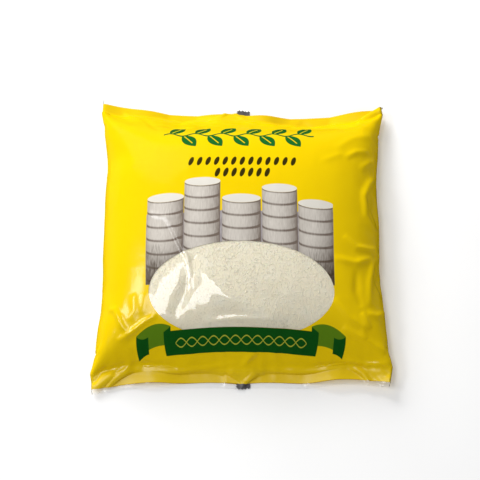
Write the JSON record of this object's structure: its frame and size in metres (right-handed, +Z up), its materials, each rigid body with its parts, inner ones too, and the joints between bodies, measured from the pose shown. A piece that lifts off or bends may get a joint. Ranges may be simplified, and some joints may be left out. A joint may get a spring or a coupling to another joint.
{
  "type": "bag of grated cheese",
  "caption": "Sealed pillow bag of grated cheese lying on its back, with flat end seals, a lap seal down the back and a clear oval window in its printed front.",
  "frame": {"origin": "on the surface the bag lies on, under the middle of its box", "axes": "+Z up, from the back with its lap seal to the printed front; +Y along the bag to its upper end seal; +X to the right of the print"},
  "size_m": [0.1602, 0.1756, 0.0326],
  "materials": {
    "printed_film": "glossy printed film, mostly yellow",
    "clear_film": "clear glossy film of the window and of the cut strips at both ends",
    "grated_cheese": "fine cream grains and shreds, dull"
  },
  "bodies": {
    "root": {"bag": "printed_film"}
  },
  "joints": []
}
